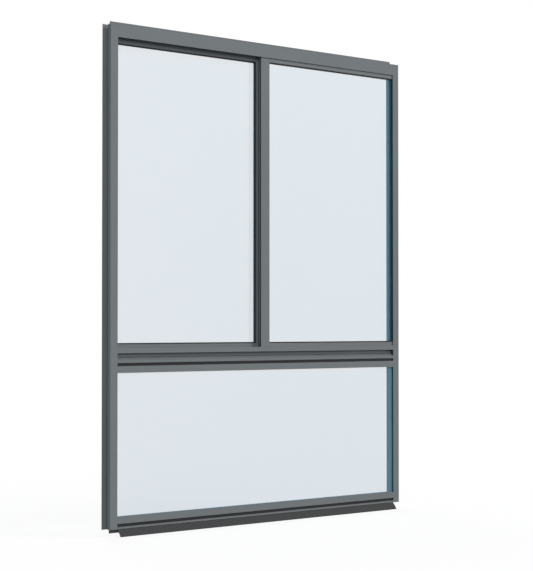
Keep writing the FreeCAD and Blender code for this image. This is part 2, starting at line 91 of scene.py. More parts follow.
sight = Vector((math.sin(CAMERA_YAW) * math.cos(CAMERA_PITCH),
                math.cos(CAMERA_YAW) * math.cos(CAMERA_PITCH),
                math.sin(CAMERA_PITCH)))
camera_data = bpy.data.cameras.new("camera")
camera_data.sensor_width = SENSOR_MM
camera_data.lens = FOCAL_PIXELS * SENSOR_MM / PICTURE_TALL
camera_data.dof.use_dof = False
camera_data.clip_end = SIGHT_LIMIT
camera = bpy.data.objects.new("camera", camera_data)
scene.collection.objects.link(camera)
camera.location = CAMERA_PLACE
camera.rotation_mode = "QUATERNION"
camera.rotation_quaternion = sight.to_track_quat("-Z", "Y")
scene.camera = camera
print("lens", round(camera_data.lens, 2), "mm")

# %% [markdown]
# ## Small helpers for modelling by hand
# Operators act on whatever is selected, so each step starts from a clean selection. Points, edges and
# faces are then picked in code by where they lie, as one would click them.

# %% Select an object, edit it and pick in it


def only(piece):
    """Leave this object alone selected and active."""
    bpy.ops.object.select_all(action="DESELECT")
    piece.select_set(True)
    bpy.context.view_layer.objects.active = piece


def edit(piece):
    """Go into edit mode on this object with nothing selected."""
    only(piece)
    bpy.ops.object.mode_set(mode="EDIT")
    bpy.ops.mesh.select_all(action="DESELECT")


def done():
    bpy.ops.object.mode_set(mode="OBJECT")


def pick(piece, kind, test):
    """Edit mode with only the points, edges or faces that pass the test selected."""
    edit(piece)
    bpy.ops.mesh.select_mode(type=kind)
    done()
    mesh = piece.data
    spots = [point.co.copy() for point in mesh.vertices]
    if kind == "VERT":
        for point in mesh.vertices:
            point.select = test(point.co)
    elif kind == "EDGE":
        for line in mesh.edges:
            line.select = test(spots[line.vertices[0]], spots[line.vertices[1]])
    else:
        for face in mesh.polygons:
            face.select = test(face)
    bpy.ops.object.mode_set(mode="EDIT")


# %% Bevel, move or cut what was picked


def bevel_edges(piece, test, radius, steps):
    pick(piece, "EDGE", test)
    bpy.ops.mesh.bevel(offset=radius, segments=steps, affect="EDGES")
    done()


def move_points(piece, test, way):
    pick(piece, "VERT", test)
    bpy.ops.transform.translate(value=way)
    done()


def cut_across(piece, place, normal):
    """Cut one row of new edges through the whole piece."""
    edit(piece)
    bpy.ops.mesh.select_all(action="SELECT")
    bpy.ops.mesh.bisect(plane_co=place, plane_no=normal)
    done()


# %% New cubes, copies and modifiers
SMOOTH_BELOW = math.radians(35)


def block(name, low, high):
    """A cube primitive between two corners, with its place and scale in its mesh."""
    bpy.ops.object.select_all(action="DESELECT")
    bpy.ops.mesh.primitive_cube_add(size=1.0)
    piece = bpy.context.object
    piece.name = name
    piece.location = (Vector(low) + Vector(high)) / 2
    piece.scale = Vector(high) - Vector(low)
    bpy.ops.object.transform_apply(location=True, rotation=True, scale=True)
    return piece


def placed_copy(source, name, place, turn=(0.0, 0.0, 0.0)):
    """A copy with its own mesh, turned and moved, with its place in its mesh."""
    piece = bpy.data.objects.new(name, source.data.copy())
    scene.collection.objects.link(piece)
    only(piece)
    piece.rotation_euler = turn
    piece.location = place
    bpy.ops.object.transform_apply(location=True, rotation=True, scale=True)
    return piece


def apply_modifiers(piece):
    only(piece)
    for modifier in list(piece.modifiers):
        bpy.ops.object.modifier_apply(modifier=modifier.name)


def smooth_by_angle(piece):
    only(piece)
    bpy.ops.object.shade_smooth_by_angle(angle=SMOOTH_BELOW)


# %% [markdown]
# ## Stage
# The picture has a plain white ground. The world is white to camera, glossy and transmission rays, so
# metal and glass mirror the same white, and a softer grey to all other rays, which is the fill light. A
# ray that has left a matt surface carries light, even when it then passes a pane, so it gets the grey as
# well. The floor is a pale disc that catches the window's shadow and fades into the white around it.

# %% Node helpers
BOUNCE_LIMIT = 0.5


def add_node(tree, kind, **settings):
    node = tree.nodes.new(kind)
    for name, value in settings.items():
        setattr(node, name, value)
    return node


def set_inputs(node, values):
    for name, value in values.items():
        node.inputs[name].default_value = value


def combine(tree, operation, first, second):
    """A Math node over a socket and either a second socket or a plain number."""
    node = add_node(tree, "ShaderNodeMath", operation=operation)
    tree.links.new(first, node.inputs[0])
    if isinstance(second, float):
        node.inputs[1].default_value = second
    else:
        tree.links.new(second, node.inputs[1])
    return node.outputs[0]


def mix_values(tree, share, first, second):
    """A blend of two value sockets, with this share of the second."""
    node = add_node(tree, "ShaderNodeMix", data_type="FLOAT")
    node.inputs["Factor"].default_value = share
    tree.links.new(first, node.inputs["A"])
    tree.links.new(second, node.inputs["B"])
    return node.outputs["Result"]


def mix_tones(tree, factor, tones):
    """A colour that a value socket moves between two tones."""
    node = add_node(tree, "ShaderNodeMix", data_type="RGBA")
    for name, tone in zip(("A", "B"), tones):
        node.inputs[name].default_value = (*tone, 1.0)
    tree.links.new(factor, node.inputs["Factor"])
    return node.outputs["Result"]


def mix_shaders(tree, factor, first, second):
    node = add_node(tree, "ShaderNodeMixShader")
    for socket, source in zip(node.inputs, (factor, first, second)):
        tree.links.new(source, socket)
    return node.outputs[0]


def white_to_the_eye(tree):
    """1 for camera, glossy and transmission rays before any matt bounce, 0 for rays that carry light."""
    path = add_node(tree, "ShaderNodeLightPath").outputs
    seen = combine(tree, "MAXIMUM", path["Is Camera Ray"], path["Is Glossy Ray"])
    seen = combine(tree, "MAXIMUM", seen, path["Is Transmission Ray"])
    no_bounce = combine(tree, "LESS_THAN", path["Diffuse Depth"], BOUNCE_LIMIT)
    return combine(tree, "MULTIPLY", seen, no_bounce)


# %% World
FILL_COLOUR = (0.90, 0.98, 1.08, 1.0)
FILL_STRENGTH = 0.19
GROUND_COLOUR = (1.0, 1.0, 1.0, 1.0)
GROUND_STRENGTH = 1.0

world = bpy.data.worlds.new("studio")
scene.world = world
world.use_nodes = True
tree = world.node_tree
tree.nodes.clear()
fill = add_node(tree, "ShaderNodeBackground")
set_inputs(fill, {"Color": FILL_COLOUR, "Strength": FILL_STRENGTH})
ground = add_node(tree, "ShaderNodeBackground")
set_inputs(ground, {"Color": GROUND_COLOUR, "Strength": GROUND_STRENGTH})
chosen = mix_shaders(tree, white_to_the_eye(tree), fill.outputs[0], ground.outputs[0])
output = add_node(tree, "ShaderNodeOutputWorld")
tree.links.new(chosen, output.inputs["Surface"])
print("world", world.name, "fill", FILL_STRENGTH, "ground", GROUND_STRENGTH)

# %% Floor
FLOOR_SIDES = 96
FLOOR_RADIUS = 14.0
FLOOR_GAP = 0.0005
FLOOR_TONES = ((0.20, 0.20, 0.20), (0.98, 0.98, 0.98))
FADE_START = 0.8
FADE_END = 4.0
LEAST_GLOW = 0.88

bpy.ops.object.select_all(action="DESELECT")
bpy.ops.mesh.primitive_circle_add(vertices=FLOOR_SIDES, radius=FLOOR_RADIUS, fill_type="NGON",
                                  location=(0.0, 0.0, cad_low.z - FLOOR_GAP))
floor = bpy.context.object
floor.name = "floor"
floor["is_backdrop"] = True

floor_paint = bpy.data.materials.new("floor_paint")
floor_paint.use_nodes = True
tree = floor_paint.node_tree
tree.nodes.clear()
where = add_node(tree, "ShaderNodeTexCoord")
reach = add_node(tree, "ShaderNodeVectorMath", operation="LENGTH")
tree.links.new(where.outputs["Object"], reach.inputs[0])
fade = add_node(tree, "ShaderNodeMapRange", interpolation_type="SMOOTHSTEP")
set_inputs(fade, {"From Min": FADE_START, "From Max": FADE_END, "To Min": LEAST_GLOW})
tree.links.new(reach.outputs["Value"], fade.inputs["Value"])
eye = white_to_the_eye(tree)
matt = add_node(tree, "ShaderNodeBsdfDiffuse")
tree.links.new(mix_tones(tree, eye, FLOOR_TONES), matt.inputs["Color"])
glow = add_node(tree, "ShaderNodeEmission")
set_inputs(glow, {"Strength": GROUND_STRENGTH})
shown = combine(tree, "MULTIPLY", eye, fade.outputs["Result"])
chosen = mix_shaders(tree, shown, matt.outputs[0], glow.outputs[0])
output = add_node(tree, "ShaderNodeOutputMaterial")
tree.links.new(chosen, output.inputs["Surface"])
floor.data.materials.append(floor_paint)
print("floor at", round(floor.location.z, 4))

# %% [markdown]
# ## Light
# The photograph tells where its light comes from. The recess under the transom's lip lies in shadow, so
# the main lamp hangs high on the right. The sash's top rail, tucked under the head, is still lit, so a
# second lamp stands low on the left, where it also gives form to the jamb's side. A third lamp behind
# lights the indoor side for views from the room. All three are large and far away, so every shadow edge
# is soft.

# %% Lamps
AIM = Vector((0.0, 0.0, 0.9))
# name: place, width in metres, watts, colour
LAMPS = {
    "key_lamp": ((9.72, -13.88, 14.14), 7.5, 2780.0, (1.0, 0.965, 0.93)),
    "left_lamp": ((-8.78, -11.49, 4.5), 6.0, 1240.0, (0.96, 1.0, 1.05)),
    "back_lamp": ((5.0, 12.0, 8.0), 8.0, 1300.0, (1.0, 1.0, 1.0)),
}
for name, (place, width, watts, colour) in LAMPS.items():
    lamp_data = bpy.data.lights.new(name, "AREA")
    lamp_data.shape = "DISK"
    lamp_data.size = width
    lamp_data.energy = watts
    lamp_data.color = colour
    lamp = bpy.data.objects.new(name, lamp_data)
    scene.collection.objects.link(lamp)
    lamp.location = place
    lamp.rotation_mode = "QUATERNION"
    lamp.rotation_quaternion = (AIM - Vector(place)).to_track_quat("-Z", "Y")
    lamp.visible_camera = False
    lamp.visible_glossy = False
    lamp.visible_transmission = False

# %% [markdown]
# ## Shared surface effects
# Powder coat, rubber and plastic all show two things: a fine grain that breaks up the highlight, and a
# faint cloudiness over larger stretches. Painting them by hand would fix their scale, so they go into one
# node group with named inputs, and each material sets its own sizes. The group puts out plain values; the
# shader itself stays in the material.

# %% Node group: grain and clouding
NOISE_DETAIL = {"Grain": 3.0, "Cloud": 2.0}
NOISE_PER_METRE = {"Grain per metre": 500.0, "Cloud per metre": 4.0}

grain_group = bpy.data.node_groups.new("surface grain", "ShaderNodeTree")
for label, value in NOISE_PER_METRE.items():
    socket = grain_group.interface.new_socket(label, in_out="INPUT", socket_type="NodeSocketFloat")
    socket.default_value = value
for label in NOISE_DETAIL:
    grain_group.interface.new_socket(label, in_out="OUTPUT", socket_type="NodeSocketFloat")
entry = add_node(grain_group, "NodeGroupInput")
leave = add_node(grain_group, "NodeGroupOutput")
where = add_node(grain_group, "ShaderNodeTexCoord")
for label, detail in NOISE_DETAIL.items():
    noise = add_node(grain_group, "ShaderNodeTexNoise")
    noise.inputs["Detail"].default_value = detail
    grain_group.links.new(where.outputs["Object"], noise.inputs["Vector"])
    grain_group.links.new(entry.outputs[f"{label} per metre"], noise.inputs["Scale"])
    grain_group.links.new(noise.outputs["Fac"], leave.inputs[label])
print("group", grain_group.name, "puts out", [s.name for s in leave.inputs if s.name])

# %% [markdown]
# ## Solid finishes
# Every solid finish here is the same recipe with other numbers: a colour that drifts between two close
# tones, a roughness range driven by the grain, and a bump at the grain's own scale. Satin powder coat has
# a fine orange peel, rubber is nearly matt, zinc-plated steel is metallic with a broader spangle.

# %% Recipe for a solid finish
GRAIN_SHARE = 0.35
RELIEF_HEIGHT = 0.0004
SPECULAR_LEVEL = 0.3


def new_material(name):
    """A material with its node tree and its Principled shader."""
    material = bpy.data.materials.new(name)
    material.use_nodes = True
    tree = material.node_tree
    return material, tree, tree.nodes["Principled BSDF"]


def break_up(tree, shader, value, rough, bump):
    """Let one value move the roughness within a range and raise the surface."""
    gloss = add_node(tree, "ShaderNodeMapRange")
    set_inputs(gloss, {"To Min": rough[0], "To Max": rough[1]})
    tree.links.new(value, gloss.inputs["Value"])
    tree.links.new(gloss.outputs["Result"], shader.inputs["Roughness"])
    relief = add_node(tree, "ShaderNodeBump")
    set_inputs(relief, {"Strength": bump, "Distance": RELIEF_HEIGHT})
    tree.links.new(value, relief.inputs["Height"])
    tree.links.new(relief.outputs["Normal"], shader.inputs["Normal"])


def solid_finish(name, tones, rough, grain, cloud, bump, metallic=0.0):
    """A finish whose colour clouds between two tones and whose grain moves gloss and bump."""
    material, tree, shader = new_material(name)
    set_inputs(shader, {"Metallic": metallic, "Specular IOR Level": SPECULAR_LEVEL})
    effect = add_node(tree, "ShaderNodeGroup", node_tree=grain_group)
    set_inputs(effect, {"Grain per metre": grain, "Cloud per metre": cloud})
    share = mix_values(tree, GRAIN_SHARE, effect.outputs["Cloud"], effect.outputs["Grain"])
    tree.links.new(mix_tones(tree, share, tones), shader.inputs["Base Color"])
    break_up(tree, shader, effect.outputs["Grain"], rough, bump)
    return material


# %% Solid finishes of this window
grey_coat = solid_finish("grey_powder_coat", ((0.139, 0.151, 0.155), (0.163, 0.177, 0.182)),
                         (0.40, 0.56), grain=620, cloud=5, bump=0.12)
# Black rubber of the real gaskets; the same black paints shade on the mullion strip, the recess plugs and
# the recess line.
black_rubber_and_shade = solid_finish("black_rubber_and_painted_shade", ((0.020, 0.020, 0.021), (0.030, 0.030, 0.031)),
                              (0.55, 0.75), grain=900, cloud=12, bump=0.2)
# Partly painted shade: this near-black is dark enough to carry the shade deep in the grooves too.
isolator_black_and_shade = solid_finish("black_isolator_and_painted_shade", ((0.014, 0.014, 0.014), (0.021, 0.021, 0.021)),
                                (0.50, 0.65), grain=500, cloud=8, bump=0.1)
flap_rubber = solid_finish("dark_flap_rubber", ((0.041, 0.042, 0.042), (0.051, 0.052, 0.052)),
                           (0.60, 0.80), grain=700, cloud=6, bump=0.15)
brush_pile = solid_finish("grey_brush_pile", ((0.10, 0.10, 0.10), (0.20, 0.20, 0.20)),
                          (0.80, 0.95), grain=2500, cloud=40, bump=0.5)
zinc_steel = solid_finish("zinc_plated_steel", ((0.50, 0.51, 0.52), (0.64, 0.65, 0.66)),
                          (0.28, 0.50), grain=160, cloud=30, bump=0.05, metallic=1.0)
white_nylon = solid_finish("white_nylon", ((0.62, 0.61, 0.58), (0.70, 0.69, 0.66)),
                           (0.38, 0.50), grain=300, cloud=20, bump=0.04)
latch_coat = solid_finish("black_satin_latch_coat", ((0.030, 0.031, 0.032), (0.042, 0.043, 0.044)),
                          (0.34, 0.46), grain=600, cloud=10, bump=0.08)
print("finishes", [material.name for material in bpy.data.materials])

# %% [markdown]
# ## Sawn aluminium
# A saw leaves arcs about a millimetre apart on a cut end. A Wave texture in rings draws them; moved off by
# a Mapping node, its centre lies well away from the bar, so the arcs come out nearly straight, as from a
# big blade.

# %% Bare metal with saw arcs
SAW_ARCS = 260.0
SAW_WAVER = 1.5
SAW_DETAIL = 2.0
SAW_CENTRE = (0.0, 0.3, 0.0)
SAWN_TONES = ((0.46, 0.47, 0.48), (0.62, 0.63, 0.64))
SAWN_ROUGH = (0.32, 0.50)
SAWN_BUMP = 0.2

sawn_metal, tree, shader = new_material("sawn_aluminium")
set_inputs(shader, {"Metallic": 1.0})
where = add_node(tree, "ShaderNodeTexCoord")
shift = add_node(tree, "ShaderNodeMapping")
set_inputs(shift, {"Location": SAW_CENTRE})
tree.links.new(where.outputs["Object"], shift.inputs["Vector"])
wave = add_node(tree, "ShaderNodeTexWave", wave_type="RINGS", rings_direction="Z")
set_inputs(wave, {"Scale": SAW_ARCS, "Distortion": SAW_WAVER, "Detail": SAW_DETAIL})
tree.links.new(shift.outputs["Vector"], wave.inputs["Vector"])
tree.links.new(mix_tones(tree, wave.outputs["Fac"], SAWN_TONES), shader.inputs["Base Color"])
break_up(tree, shader, wave.outputs["Fac"], SAWN_ROUGH, SAWN_BUMP)
print("sawn ends", sawn_metal.name)

# %% [markdown]
# ## Glass
# The panes let the white ground through with a faint blue cast, mirror a little of it, and turn the dark
# frame behind them teal. Refraction comes from the Principled shader. Its tint clouds faintly, as float
# glass does, and deepens a little towards the foot. A low sheen adds the blue film that toned glass has at
# a slant. Light that only passes through on its way to a surface meets a plain transparent shader, so the
# panes throw no solid shadow and need no slow caustics.

# %% Blue-toned window glass
GLASS_TONES = ((0.830, 0.803, 0.798), (0.891, 0.860, 0.852))
GLASS_CLOUD = 1.5
# The tint deepens a little towards the foot, up to this height, and the ramp has this share against the
# clouding.
TINT_RAMP_TOP = 1.75
TINT_RAMP_SHARE = 0.75
SHADOW_TINT = (0.85, 0.86, 0.87, 1.0)
GLASS_LOOK = {
    "Transmission Weight": 1.0,
    "IOR": 1.42,
    "Roughness": 0.0,
    "Specular Tint": (0.70, 0.90, 1.0, 1.0),
    "Sheen Weight": 0.35,
    "Sheen Roughness": 0.8,
    "Sheen Tint": (0.05, 0.60, 0.91, 1.0),
}

window_glass, tree, shader = new_material("window_glass")
set_inputs(shader, GLASS_LOOK)
effect = add_node(tree, "ShaderNodeGroup", node_tree=grain_group)
set_inputs(effect, {"Cloud per metre": GLASS_CLOUD})
where = add_node(tree, "ShaderNodeTexCoord")
split = add_node(tree, "ShaderNodeSeparateXYZ")
tree.links.new(where.outputs["Object"], split.inputs[0])
height = add_node(tree, "ShaderNodeMapRange")
set_inputs(height, {"From Max": TINT_RAMP_TOP})
tree.links.new(split.outputs["Z"], height.inputs["Value"])
share = mix_values(tree, TINT_RAMP_SHARE, effect.outputs["Cloud"], height.outputs["Result"])
tree.links.new(mix_tones(tree, share, GLASS_TONES), shader.inputs["Base Color"])
clear = add_node(tree, "ShaderNodeBsdfTransparent")
set_inputs(clear, {"Color": SHADOW_TINT})
path = add_node(tree, "ShaderNodeLightPath")
chosen = mix_shaders(tree, path.outputs["Is Shadow Ray"], shader.outputs[0], clear.outputs[0])
tree.links.new(chosen, tree.nodes["Material Output"].inputs["Surface"])
print("glass", window_glass.name)

# %% [markdown]
# ## Aluminium bars
# A drawn section has knife edges; an extruded bar never does. Small radii could be drawn into every
# section, but one bevel does the same for all of them. Each bar is copied from its CAD node, its loose
# triangles are merged, flat triangles are dissolved into whole faces, and a bevel with hardened normals
# rounds the sharp edges while the flats stay flat. Where two bars butt, the two rounded ends leave the
# fine joint line of the real frame.

# %% Copy a CAD shape, merge it and round its edges
MERGE_WITHIN = 0.000005
FLAT_WITHIN = math.radians(0.5)


def merged_copy(node_name, piece_name):
    """A CAD node's mesh as a new object, with its loose triangles merged into whole flat faces."""
    piece = bpy.data.objects.new(piece_name, NODES[node_name].data.copy())
    scene.collection.objects.link(piece)
    edit(piece)
    bpy.ops.mesh.customdata_custom_splitnormals_clear()
    bpy.ops.mesh.select_all(action="SELECT")
    bpy.ops.mesh.remove_doubles(threshold=MERGE_WITHIN)
    bpy.ops.mesh.dissolve_limited(angle_limit=FLAT_WITHIN)
    done()
    return piece


def round_edges(piece, radius, segments=2, sharper_than=25):
    """Bevel every edge that turns by more than this angle, and keep the flats flat."""
    only(piece)
    bpy.ops.object.shade_smooth()
    bevel = piece.modifiers.new("soft edges", "BEVEL")
    bevel.width = radius
    bevel.segments = segments
    bevel.limit_method = "ANGLE"
    bevel.angle_limit = math.radians(sharper_than)
    bevel.harden_normals = True
    bevel.use_clamp_overlap = False
    apply_modifiers(piece)


# %% Finish a piece, or all the pieces of one slot
BODY = "root"
SLOT_OF = {part["node"]: part["material_slot"] for part in frame["record"]["subparts"]}


def finish_piece(piece, slot_name, material, *nodes):
    """Give a piece its material and body, and let it stand for its CAD nodes; the slot name is not used.
    """
    piece.data.materials.clear()
    piece.data.materials.append(material)
    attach(piece, BODY)
    if nodes:
        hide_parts(*nodes)


def nodes_of(slot_name):
    return sorted(node for node, slot in SLOT_OF.items() if slot == slot_name)


def dress(slot_name, ending, material, radius, segments=2):
    """Copy, round and finish every CAD node of a slot, and give the pieces by node name."""
    pieces = {}
    for node_name in nodes_of(slot_name):
        piece = merged_copy(node_name, f"{node_name}_{ending}")
        round_edges(piece, radius, segments)
        finish_piece(piece, slot_name, material, node_name)
        pieces[node_name] = piece
    return pieces


# %% Bars of the frame and of the sash
BAR_RADIUS = 0.0006
bars = dress("powder_coat", "bar", grey_coat, BAR_RADIUS)
print("bars", len(bars), "faces", sum(len(bar.data.polygons) for bar in bars.values()))

# %% [markdown]
# ## Sawn ends
# Bars are coated in full lengths and sawn afterwards, so the jambs' ends show bare metal with the arcs of
# the saw. A second material slot on the same mesh does this without a new piece. Only the jambs end in
# the open; every other end is buried in a joint.

# %% Bare metal on the ends of the jambs
TOUCH = 0.0001
FACING = 0.9


def add_material(piece, material, test):
    """Give the faces that pass the test a second material, and count them."""
    piece.data.materials.append(material)
    for face in piece.data.polygons:
        face.material_index = 1 if test(face) else 0
    return sum(face.material_index for face in piece.data.polygons)


for node_name in ("left_jamb", "right_jamb"):
    low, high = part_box(node_name)
    count = add_material(bars[node_name], sawn_metal, lambda face: abs(face.normal.z) > FACING and min(
        face.center.z - low.z, high.z - face.center.z) < TOUCH)
    print(node_name, "sawn faces", count)

# %% [markdown]
# ## Isolators, roller brackets, wheels and blocks
# Black isolator strips lie deep in the two dark grooves, and the rollers and anti-lift blocks hide inside
# the sash. The isolators' near-black is kept dark enough to carry the shade in the grooves too, so it is
# partly their own colour and partly painted shade. Their CAD shapes are right, so they are copied and
# rounded like the bars, each by its own radius. A wheel and its pin are one CAD shape, so the pin gets its
# steel as a second material.

# %% Moulded and pressed pieces
ISOLATOR_RADIUS = 0.0005
BRACKET_RADIUS = 0.0005
NYLON_RADIUS = 0.0004
isolators = dress("isolator", "piece", isolator_black_and_shade, ISOLATOR_RADIUS)
brackets = dress("bracket", "piece", zinc_steel, BRACKET_RADIUS)
mouldings = dress("nylon", "piece", white_nylon, NYLON_RADIUS)
print("isolators", len(isolators), "brackets", len(brackets), "nylon pieces", len(mouldings))

# %% Steel pins through the wheels
WHEEL_HALF_WIDTH = 0.003
for side in ("left", "right"):
    low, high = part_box(f"roller_wheel_{side}")
    middle = (low.y + high.y) / 2
    count = add_material(mouldings[f"roller_wheel_{side}"], zinc_steel,
                         lambda face: abs(face.center.y - middle) - WHEEL_HALF_WIDTH > TOUCH)
    print(side, "pin faces", count)

# %% [markdown]
# ## Panes and their rubber
# A pane's edge is ground to a small flat bevel before it is glazed, so one bevel segment is enough. The
# rubber that grips it is soft, so its lips are rounded more than metal, in three steps.

# %% Panes with ground edges, and rubber with soft lips
PANE_ARRIS = 0.0008
LIP_RADIUS = 0.0009
panes = dress("glass", "pane", window_glass, PANE_ARRIS, segments=1)
lips = dress("gasket", "lips", black_rubber_and_shade, LIP_RADIUS, segments=3)
print("panes", len(panes), "gaskets", len(lips))

# %% [markdown]
# ## Flap under the sill
# A strip of dark rubber is clipped under the sill and leans out over the wall below. Left straight it
# would look like sheet metal, so the blade is cut across its slope with bisect, and each row of points is
# moved outwards a little, most in the middle: a flexible strip that is held along its top always bows.

# %% Bowed flap
FLAP_BOW = 0.0012
FLAP_ROWS = 5
FLAP_RADIUS = 0.0006
FLAP_SHARP = 40
BLADE_TOP = Vector((0.0, -0.029, 0.0005))
TIP_INSET = 0.001
ROW_WITHIN = 0.0002

flap = merged_copy("sill_flap", "sill_flap_strip")
flap_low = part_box("sill_flap")[0]
blade_tip = Vector((0.0, flap_low.y + TIP_INSET, flap_low.z))
slope = (blade_tip - BLADE_TOP).normalized()
outward = Vector((0.0, slope.z, -slope.y))
for row in range(1, FLAP_ROWS):
    share = row / FLAP_ROWS
    place = BLADE_TOP.lerp(blade_tip, share)
    cut_across(flap, place, slope)
    move_points(flap, lambda spot: abs((spot - place).dot(slope)) < ROW_WITHIN and spot.z < 0.0,
                outward * FLAP_BOW * math.sin(share * math.pi))
round_edges(flap, FLAP_RADIUS, segments=3, sharper_than=FLAP_SHARP)
finish_piece(flap, "flap", flap_rubber, "sill_flap")
print("flap rows", FLAP_ROWS, "faces", len(flap.data.polygons))

# %% [markdown]
# ## Brush seals
# A brush seal is a thin backing strip with a dense row of fibre tufts. One tuft is a cube whose tip is
# pinched with a resize; an Array modifier repeats it along the rail, and the backing is joined to it.
# Fibres as curves would be finer, but at this size the tufts already read as a brush and stay light.

# %% Tufted strips
TUFT_PITCH = 0.0015
TUFT_WIDTH = 0.0012
TUFT_MARGIN = 0.0008
TUFT_PINCH = (0.55, 1.0, 0.8)
BACKING = 0.0005
SUNK = 0.0001
LONG_EDGE = 0.1


def brush_strip(node_name):
    """Backing on the rail's face, and tufts that stand on it towards the frame's leg."""
    low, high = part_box(node_name)
    outdoor = "outdoor" in node_name
    rail, tip = (high.y, low.y) if outdoor else (low.y, high.y)
    toward = math.copysign(1.0, tip - rail)
    backing_front = rail + toward * BACKING
    strip = block(f"{node_name}_strip", (low.x, min(rail, backing_front), low.z),
                  (high.x, max(rail, backing_front), high.z))
    bevel_edges(strip, lambda a, b: abs(a.x - b.x) > LONG_EDGE and (a.y - rail) * toward > BACKING / 2,
                BACKING / 2, 2)
    root = backing_front - toward * SUNK
    tuft = block("tuft", (low.x + SUNK, min(root, tip), low.z + TUFT_MARGIN),
                 (low.x + SUNK + TUFT_WIDTH, max(root, tip), high.z - TUFT_MARGIN))
    pick(tuft, "FACE", lambda face: face.normal.y * toward > FACING)
    middle = (low.x + SUNK + TUFT_WIDTH / 2, tip, (low.z + high.z) / 2)
    bpy.ops.transform.resize(value=TUFT_PINCH, center_override=middle)
    done()
    count = int((high.x - low.x - 2 * SUNK - TUFT_WIDTH) / TUFT_PITCH) + 1
    row = tuft.modifiers.new("row", "ARRAY")
    row.use_relative_offset = False
    row.use_constant_offset = True
    row.constant_offset_displace = (TUFT_PITCH, 0.0, 0.0)
    row.count = count
    apply_modifiers(tuft)
    only(strip)
    tuft.select_set(True)
    bpy.ops.object.join()
    finish_piece(strip, "brush", brush_pile, node_name)
    return count


for node_name in nodes_of("brush"):
    print(node_name, "tufts", brush_strip(node_name))

# %% [markdown]
# ## Black blocks for painted shade
# Three dark places are shade, and each is painted with a black rubber block rather than left to the light:
# the mullion's left side, the two ends of the transom's recess, and the recess's inner corner. The strip
# on the mullion is a cube with its two outer edges rounded. The transom's recess runs on behind the jambs'
# faces, and a black plug fills each end there; it is a cube whose front foot is pulled down to follow the
# slope below it. Between the plugs a thin black line lies in the recess's inner corner.

# %% Painted shade: black strip on the mullion's left side
SHADE_STRIP_FRONT = -0.0261
SHADE_STRIP_BACK = -0.0204
SHADE_STRIP_FOOT = 0.6435
SHADE_STRIP_TOP = 1.7545
SHADE_STRIP_PROUD = 0.0008
SHADE_STRIP_ROUND = 0.0006
SHADE_ROUND_STEPS = 3
mullion_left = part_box("meeting_stile")[0].x
# A black rubber strip on the mullion's left side paints the shade that lies there.
shade_strip = block("mullion_shade_strip", (mullion_left - SHADE_STRIP_PROUD, SHADE_STRIP_FRONT, SHADE_STRIP_FOOT),
             (mullion_left + SUNK, SHADE_STRIP_BACK, SHADE_STRIP_TOP))
bevel_edges(shade_strip, lambda a, b: abs(a.z - b.z) > LONG_EDGE and a.x < mullion_left, SHADE_STRIP_ROUND, SHADE_ROUND_STEPS)
smooth_by_angle(shade_strip)
finish_piece(shade_strip, "gasket", black_rubber_and_shade)
print("shade_strip", round(SHADE_STRIP_TOP - SHADE_STRIP_FOOT, 4), "m tall, faces", len(shade_strip.data.polygons))

# %% Painted shade: black plugs at the ends of the transom's recess
PLUG_INNER = 0.728
PLUG_OUTER = 0.736
PLUG_FRONT = -0.0298
PLUG_BACK = -0.0132
PLUG_TOP = 0.6248
PLUG_BACK_FOOT = 0.6107
PLUG_FALL = 0.0096
PLUG_ROUND = 0.0004
# Black plugs paint the deep shade at each end of the transom's recess.
shade_plug = block("recess_shade_plug_right", (PLUG_INNER, PLUG_FRONT, PLUG_BACK_FOOT),
             (PLUG_OUTER + SUNK, PLUG_BACK, PLUG_TOP))
move_points(shade_plug, lambda spot: spot.y < PLUG_FRONT + SUNK and spot.z < PLUG_TOP - SUNK,
            (0.0, 0.0, -PLUG_FALL))
round_edges(shade_plug, PLUG_ROUND)
finish_piece(shade_plug, "gasket", black_rubber_and_shade)
twin = placed_copy(shade_plug, "recess_shade_plug_left", (-(PLUG_INNER + PLUG_OUTER + SUNK), 0.0, 0.0))
finish_piece(twin, "gasket", black_rubber_and_shade)
print("plugs", shade_plug.name, twin.name, "faces", len(shade_plug.data.polygons))

# %% Painted shade: black line in the inner corner of the recess
SHADE_LINE_FRONT = -0.0143
SHADE_LINE_FOOT = 0.6096
SHADE_LINE_TOP = 0.6111
SHADE_LINE_ROUND = 0.0008
RECESS_BACK = -0.013
# A thin black line paints the shade in the recess's inner corner.
shade_line = block("recess_shade_line", (-PLUG_INNER, SHADE_LINE_FRONT, SHADE_LINE_FOOT),
                (PLUG_INNER, RECESS_BACK + SUNK, SHADE_LINE_TOP))
bevel_edges(shade_line, lambda a, b: (abs(a.x - b.x) > LONG_EDGE and a.y < RECESS_BACK
                                   and a.z > SHADE_LINE_TOP - SUNK), SHADE_LINE_ROUND, SHADE_ROUND_STEPS)
smooth_by_angle(shade_line)
finish_piece(shade_line, "gasket", black_rubber_and_shade)
print("shade_line", round(2 * PLUG_INNER, 4), "m long, faces", len(shade_line.data.polygons))

# %% [markdown]
# ## Latch
# Indoors, a thumb latch sits on the lock stile. Its plate is a cube whose four corner edges are bevelled
# into round ends, with a rim inset on its face. The lever is a second cube: cut across, narrowed and
# thinned row by row towards its ends, with three grip grooves pressed into its middle. A drawn outline
# could be extruded instead, but a cube gives clean rows to pull on.

